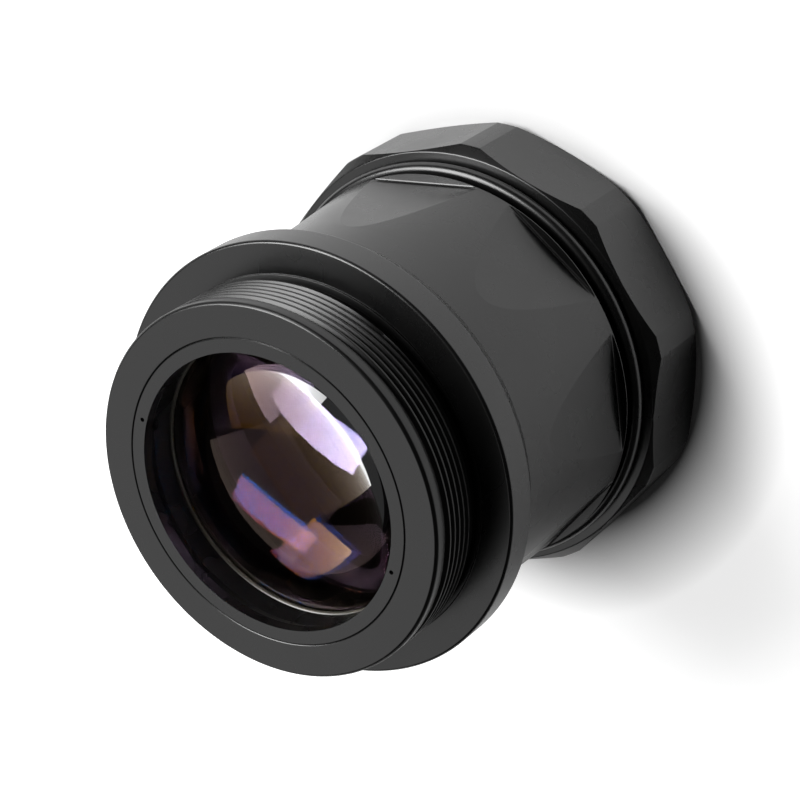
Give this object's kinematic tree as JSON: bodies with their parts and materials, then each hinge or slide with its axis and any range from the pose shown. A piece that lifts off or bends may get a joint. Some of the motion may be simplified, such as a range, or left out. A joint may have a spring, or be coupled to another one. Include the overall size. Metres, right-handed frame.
{
  "type": "telescope focal reducer",
  "caption": "Threaded lens barrel that shortens a telescope's focal length: flanged male thread in front, flatted barrel and collar with a female thread behind.",
  "frame": {"origin": "centre of the collar's flat end face, on which the part stands", "axes": "+Z along the optical axis towards the lens end; +X through the middle of one barrel flat"},
  "size_m": [0.0622, 0.0622, 0.0582],
  "materials": {
    "anodised_flange": "matt black anodised",
    "anodised_ring": "matt black anodised",
    "anodised_inner": "dull black anodised",
    "anodised_barrel": "satin black anodised",
    "anodised_lock_ring": "satin black anodised",
    "anodised_collar": "satin black anodised",
    "cushion": "smooth",
    "front_glass": "polished, multi-coated",
    "inner_glass": "polished",
    "rear_glass": "polished, multi-coated"
  },
  "bodies": {
    "root": {"threaded_flange": "anodised_flange", "front_retaining_ring": "anodised_ring", "front_cushion_ring": "cushion", "front_crown_lens": "front_glass", "front_air_spacer": "anodised_inner", "front_flint_lens": "inner_glass", "main_barrel": "anodised_barrel", "light_baffle": "anodised_inner", "spacer_tube": "anodised_inner", "rear_flint_lens": "inner_glass", "rear_crown_lens": "rear_glass", "rear_cushion_ring": "cushion", "rear_retaining_ring": "anodised_ring", "lock_ring": "anodised_lock_ring", "collar": "anodised_collar"}
  },
  "joints": []
}
